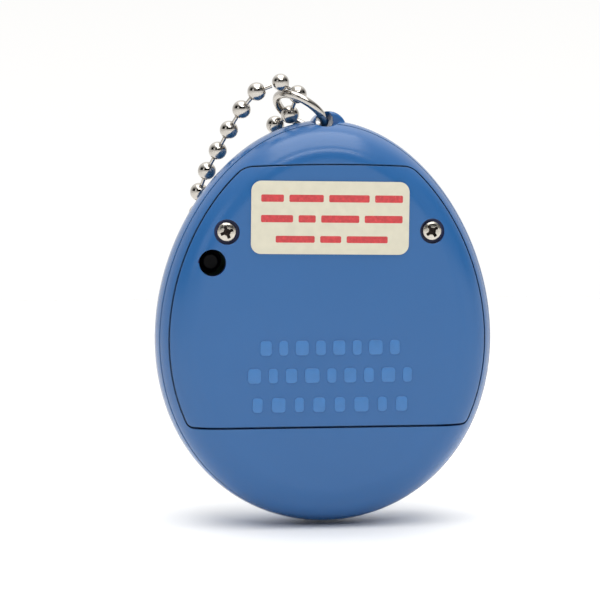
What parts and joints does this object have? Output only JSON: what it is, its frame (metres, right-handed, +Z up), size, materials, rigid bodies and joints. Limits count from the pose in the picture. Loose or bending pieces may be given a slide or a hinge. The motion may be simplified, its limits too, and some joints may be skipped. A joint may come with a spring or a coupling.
{
  "type": "virtual pet keychain",
  "caption": "Egg-shaped electronic pet with a screen and push buttons on the front, a screwed battery cover on the back, and a key ring with a ball chain",
  "frame": {"origin": "middle of the key-loop eye at the top of the egg", "axes": "+Z up along the egg, +Y out of the screen side, -Y out of the battery side, +X to the right seen from the back"},
  "size_m": [0.0442, 0.0198, 0.0584],
  "materials": {
    "blue_plastic": "glossy moulded",
    "label_paper": "matte printed",
    "nickel_plate": "bright nickel plate",
    "steel": "satin",
    "black_plastic": "matte",
    "green_board": "solder mask",
    "brass_disc": "satin",
    "display_glass": "grey-green",
    "grey_rubber": "matte",
    "pale_plastic": "glossy moulded",
    "clear_lens": "clear"
  },
  "bodies": {
    "egg": {"front_shell": "blue_plastic", "rear_shell": "blue_plastic", "screen_frame": "pale_plastic", "screen_lens": "clear_lens", "lcd_panel": "display_glass", "contact_strip": "grey_rubber", "circuit_board": "green_board", "chip_blob": "black_plastic", "sound_disc": "brass_disc", "button_pad": "grey_rubber", "housing_screw_1": "steel", "housing_screw_2": "steel", "housing_screw_3": "steel", "housing_screw_4": "steel", "battery_1": "steel", "battery_2": "steel"},
    "cover": {"battery_cover": "blue_plastic", "back_label": "label_paper"},
    "screw_left": {"cover_screw_left": "nickel_plate"},
    "screw_right": {"cover_screw_right": "nickel_plate"},
    "reset": {"reset_button": "black_plastic"},
    "play_left": {"button_left": "pale_plastic"},
    "play_middle": {"button_middle": "pale_plastic"},
    "play_right": {"button_right": "pale_plastic"},
    "ring": {"jump_ring": "nickel_plate"},
    "bead_00": {"chain_bead_00": "nickel_plate"},
    "left_01": {"chain_left_01": "nickel_plate"},
    "left_02": {"chain_left_02": "nickel_plate"},
    "left_03": {"chain_left_03": "nickel_plate"},
    "left_04": {"chain_left_04": "nickel_plate"},
    "left_05": {"chain_left_05": "nickel_plate"},
    "left_06": {"chain_left_06": "nickel_plate"},
    "left_07": {"chain_left_07": "nickel_plate"},
    "left_08": {"chain_left_08": "nickel_plate"},
    "left_09": {"chain_left_09": "nickel_plate"},
    "left_10": {"chain_left_10": "nickel_plate"},
    "left_11": {"chain_left_11": "nickel_plate"},
    "left_12": {"chain_left_12": "nickel_plate"},
    "left_13": {"chain_left_13": "nickel_plate"},
    "left_14": {"chain_left_14": "nickel_plate"},
    "right_01": {"chain_right_01": "nickel_plate"},
    "right_02": {"chain_right_02": "nickel_plate"},
    "right_03": {"chain_right_03": "nickel_plate"},
    "right_04": {"chain_right_04": "nickel_plate"},
    "right_05": {"chain_right_05": "nickel_plate"},
    "right_06": {"chain_right_06": "nickel_plate"},
    "right_07": {"chain_right_07": "nickel_plate"},
    "right_08": {"chain_right_08": "nickel_plate"},
    "right_09": {"chain_right_09": "nickel_plate"},
    "right_10": {"chain_right_10": "nickel_plate"},
    "right_11": {"chain_right_11": "nickel_plate"},
    "right_12": {"chain_right_12": "nickel_plate"},
    "connector": {"chain_connector": "nickel_plate"}
  },
  "joints": [
    {"name": "cover_lift", "type": "slide", "parent": "egg", "child": "cover", "axis": [0, -1, 0], "range_m": [0, 0.012]},
    {"name": "screw_left_turn", "type": "hinge", "parent": "cover", "child": "screw_left", "pos_m": [-0.0132, -0.0009, -0.01345], "axis": [0, -1, 0], "continuous": true},
    {"name": "screw_right_turn", "type": "hinge", "parent": "cover", "child": "screw_right", "pos_m": [0.0132, -0.0009, -0.01345], "axis": [0, -1, 0], "continuous": true},
    {"name": "reset_press", "type": "slide", "parent": "egg", "child": "reset", "axis": [0, 1, 0], "range_m": [0, 0.0004], "stiffness_N_per_m": 400},
    {"name": "left_press", "type": "slide", "parent": "egg", "child": "play_left", "axis": [0, -1, 0], "range_m": [0, 0.0008], "stiffness_N_per_m": 300},
    {"name": "middle_press", "type": "slide", "parent": "egg", "child": "play_middle", "axis": [0, -1, 0], "range_m": [0, 0.0008], "stiffness_N_per_m": 300},
    {"name": "right_press", "type": "slide", "parent": "egg", "child": "play_right", "axis": [0, -1, 0], "range_m": [0, 0.0008], "stiffness_N_per_m": 300},
    {"name": "ring_swing", "type": "hinge", "parent": "egg", "child": "ring", "pos_m": [0, 0, 0], "axis": [-0.1938, 0.9377, -0.2883], "range_deg": [0, 40]},
    {"name": "chain_swing", "type": "hinge", "parent": "ring", "child": "bead_00", "pos_m": [-0.00373, 0.0003, 0.00281], "axis": [0, 1, 0], "range_deg": [0, 12]},
    {"name": "left_bend_01", "type": "hinge", "parent": "bead_00", "child": "left_01", "pos_m": [-0.00335, -0.00065, 0.0041], "axis": [0.5277, 0, 0.8494], "range_deg": [0, 12]},
    {"name": "left_bend_02", "type": "hinge", "parent": "left_01", "child": "left_02", "pos_m": [-0.00577, -0.00232, 0.0056], "axis": [0.104, 0.9937, 0.0406], "range_deg": [0, 20]},
    {"name": "left_bend_03", "type": "hinge", "parent": "left_02", "child": "left_03", "pos_m": [-0.00883, -0.00195, 0.00441], "axis": [0.7812, 0, -0.6243], "range_deg": [0, 20]},
    {"name": "left_bend_04", "type": "hinge", "parent": "left_03", "child": "left_04", "pos_m": [-0.01064, -0.00037, 0.00214], "axis": [0.1971, 0.9185, 0.3427], "range_deg": [0, 20]},
    {"name": "left_bend_05", "type": "hinge", "parent": "left_04", "child": "left_05", "pos_m": [-0.01215, 0.00094, -0.00049], "axis": [0.8957, 0, -0.4447], "range_deg": [0, 20]},
    {"name": "left_bend_06", "type": "hinge", "parent": "left_05", "child": "left_06", "pos_m": [-0.0135, 0.00226, -0.00321], "axis": [0.1962, 0.8961, 0.3981], "range_deg": [0, 20]},
    {"name": "left_bend_07", "type": "hinge", "parent": "left_06", "child": "left_07", "pos_m": [-0.01481, 0.00372, -0.00586], "axis": [0.9498, 0, -0.3129], "range_deg": [0, 20]},
    {"name": "left_bend_08", "type": "hinge", "parent": "left_07", "child": "left_08", "pos_m": [-0.01572, 0.00528, -0.00864], "axis": [0.011, 0.8685, 0.4956], "range_deg": [0, 20]},
    {"name": "left_bend_09", "type": "hinge", "parent": "left_08", "child": "left_09", "pos_m": [-0.01579, 0.00692, -0.01151], "axis": [0.9954, 0, 0.0963], "range_deg": [0, 20]},
    {"name": "left_bend_10", "type": "hinge", "parent": "left_09", "child": "left_10", "pos_m": [-0.0155, 0.00839, -0.01447], "axis": [-0.0424, 0.9515, 0.3047], "range_deg": [0, 20]},
    {"name": "left_bend_11", "type": "hinge", "parent": "left_10", "child": "left_11", "pos_m": [-0.01507, 0.0094, -0.01758], "axis": [0.9974, 0, 0.0724], "range_deg": [0, 20]},
    {"name": "left_bend_12", "type": "hinge", "parent": "left_11", "child": "left_12", "pos_m": [-0.01483, 0.00985, -0.02086], "axis": [-0.0011, 0.9988, 0.0498], "range_deg": [0, 20]},
    {"name": "left_bend_13", "type": "hinge", "parent": "left_12", "child": "left_13", "pos_m": [-0.01476, 0.01001, -0.02416], "axis": [1, 0, 0.0076], "range_deg": [0, 20]},
    {"name": "left_bend_14", "type": "hinge", "parent": "left_13", "child": "left_14", "pos_m": [-0.01473, 0.01007, -0.02747], "axis": [0, 1, -0.0005], "range_deg": [0, 20]},
    {"name": "right_bend_01", "type": "hinge", "parent": "bead_00", "child": "right_01", "pos_m": [-0.00335, -0.00065, 0.0041], "axis": [-0.1624, -0.8173, -0.5529], "range_deg": [0, 4]},
    {"name": "right_bend_02", "type": "hinge", "parent": "right_01", "child": "right_02", "pos_m": [-0.00411, 0.00125, 0.00151], "axis": [0.6255, 0, -0.7802], "range_deg": [0, 8]},
    {"name": "right_bend_03", "type": "hinge", "parent": "right_02", "child": "right_03", "pos_m": [-0.00578, 0.00377, 0.00018], "axis": [0.155, -0.5824, -0.798], "range_deg": [0, 5]},
    {"name": "right_bend_04", "type": "hinge", "parent": "right_03", "child": "right_04", "pos_m": [-0.00541, 0.00645, -0.00171], "axis": [0.9761, 0, -0.2175], "range_deg": [0, 20]},
    {"name": "right_bend_05", "type": "hinge", "parent": "right_04", "child": "right_05", "pos_m": [-0.00603, 0.00813, -0.00449], "axis": [-0.0232, -0.9638, -0.2656], "range_deg": [0, 20]},
    {"name": "right_bend_06", "type": "hinge", "parent": "right_05", "child": "right_06", "pos_m": [-0.0063, 0.00901, -0.00766], "axis": [0.998, 0, -0.0631], "range_deg": [0, 20]},
    {"name": "right_bend_07", "type": "hinge", "parent": "right_06", "child": "right_07", "pos_m": [-0.00651, 0.00951, -0.01092], "axis": [-0.0024, -0.9975, -0.0709], "range_deg": [0, 20]},
    {"name": "right_bend_08", "type": "hinge", "parent": "right_07", "child": "right_08", "pos_m": [-0.00662, 0.00974, -0.01422], "axis": [0.9999, 0, -0.0151], "range_deg": [0, 20]},
    {"name": "right_bend_09", "type": "hinge", "parent": "right_08", "child": "right_09", "pos_m": [-0.00667, 0.00985, -0.01754], "axis": [-0.0001, -0.9999, -0.0129], "range_deg": [0, 20]},
    {"name": "right_bend_10", "type": "hinge", "parent": "right_09", "child": "right_10", "pos_m": [-0.0067, 0.00989, -0.02089], "axis": [1, 0, -0.0039], "range_deg": [0, 20]},
    {"name": "right_bend_11", "type": "hinge", "parent": "right_10", "child": "right_11", "pos_m": [-0.00671, 0.0099, -0.02425], "axis": [0, -1, 0.0018], "range_deg": [0, 20]},
    {"name": "right_bend_12", "type": "hinge", "parent": "right_11", "child": "right_12", "pos_m": [-0.00671, 0.0099, -0.02757], "axis": [1, 0, -0.0002], "range_deg": [0, 20]},
    {"name": "connector_swing", "type": "hinge", "parent": "left_14", "child": "connector", "pos_m": [-0.01473, 0.01006, -0.03079], "axis": [0, 0, -1], "range_deg": [-50, 0]}
  ]
}
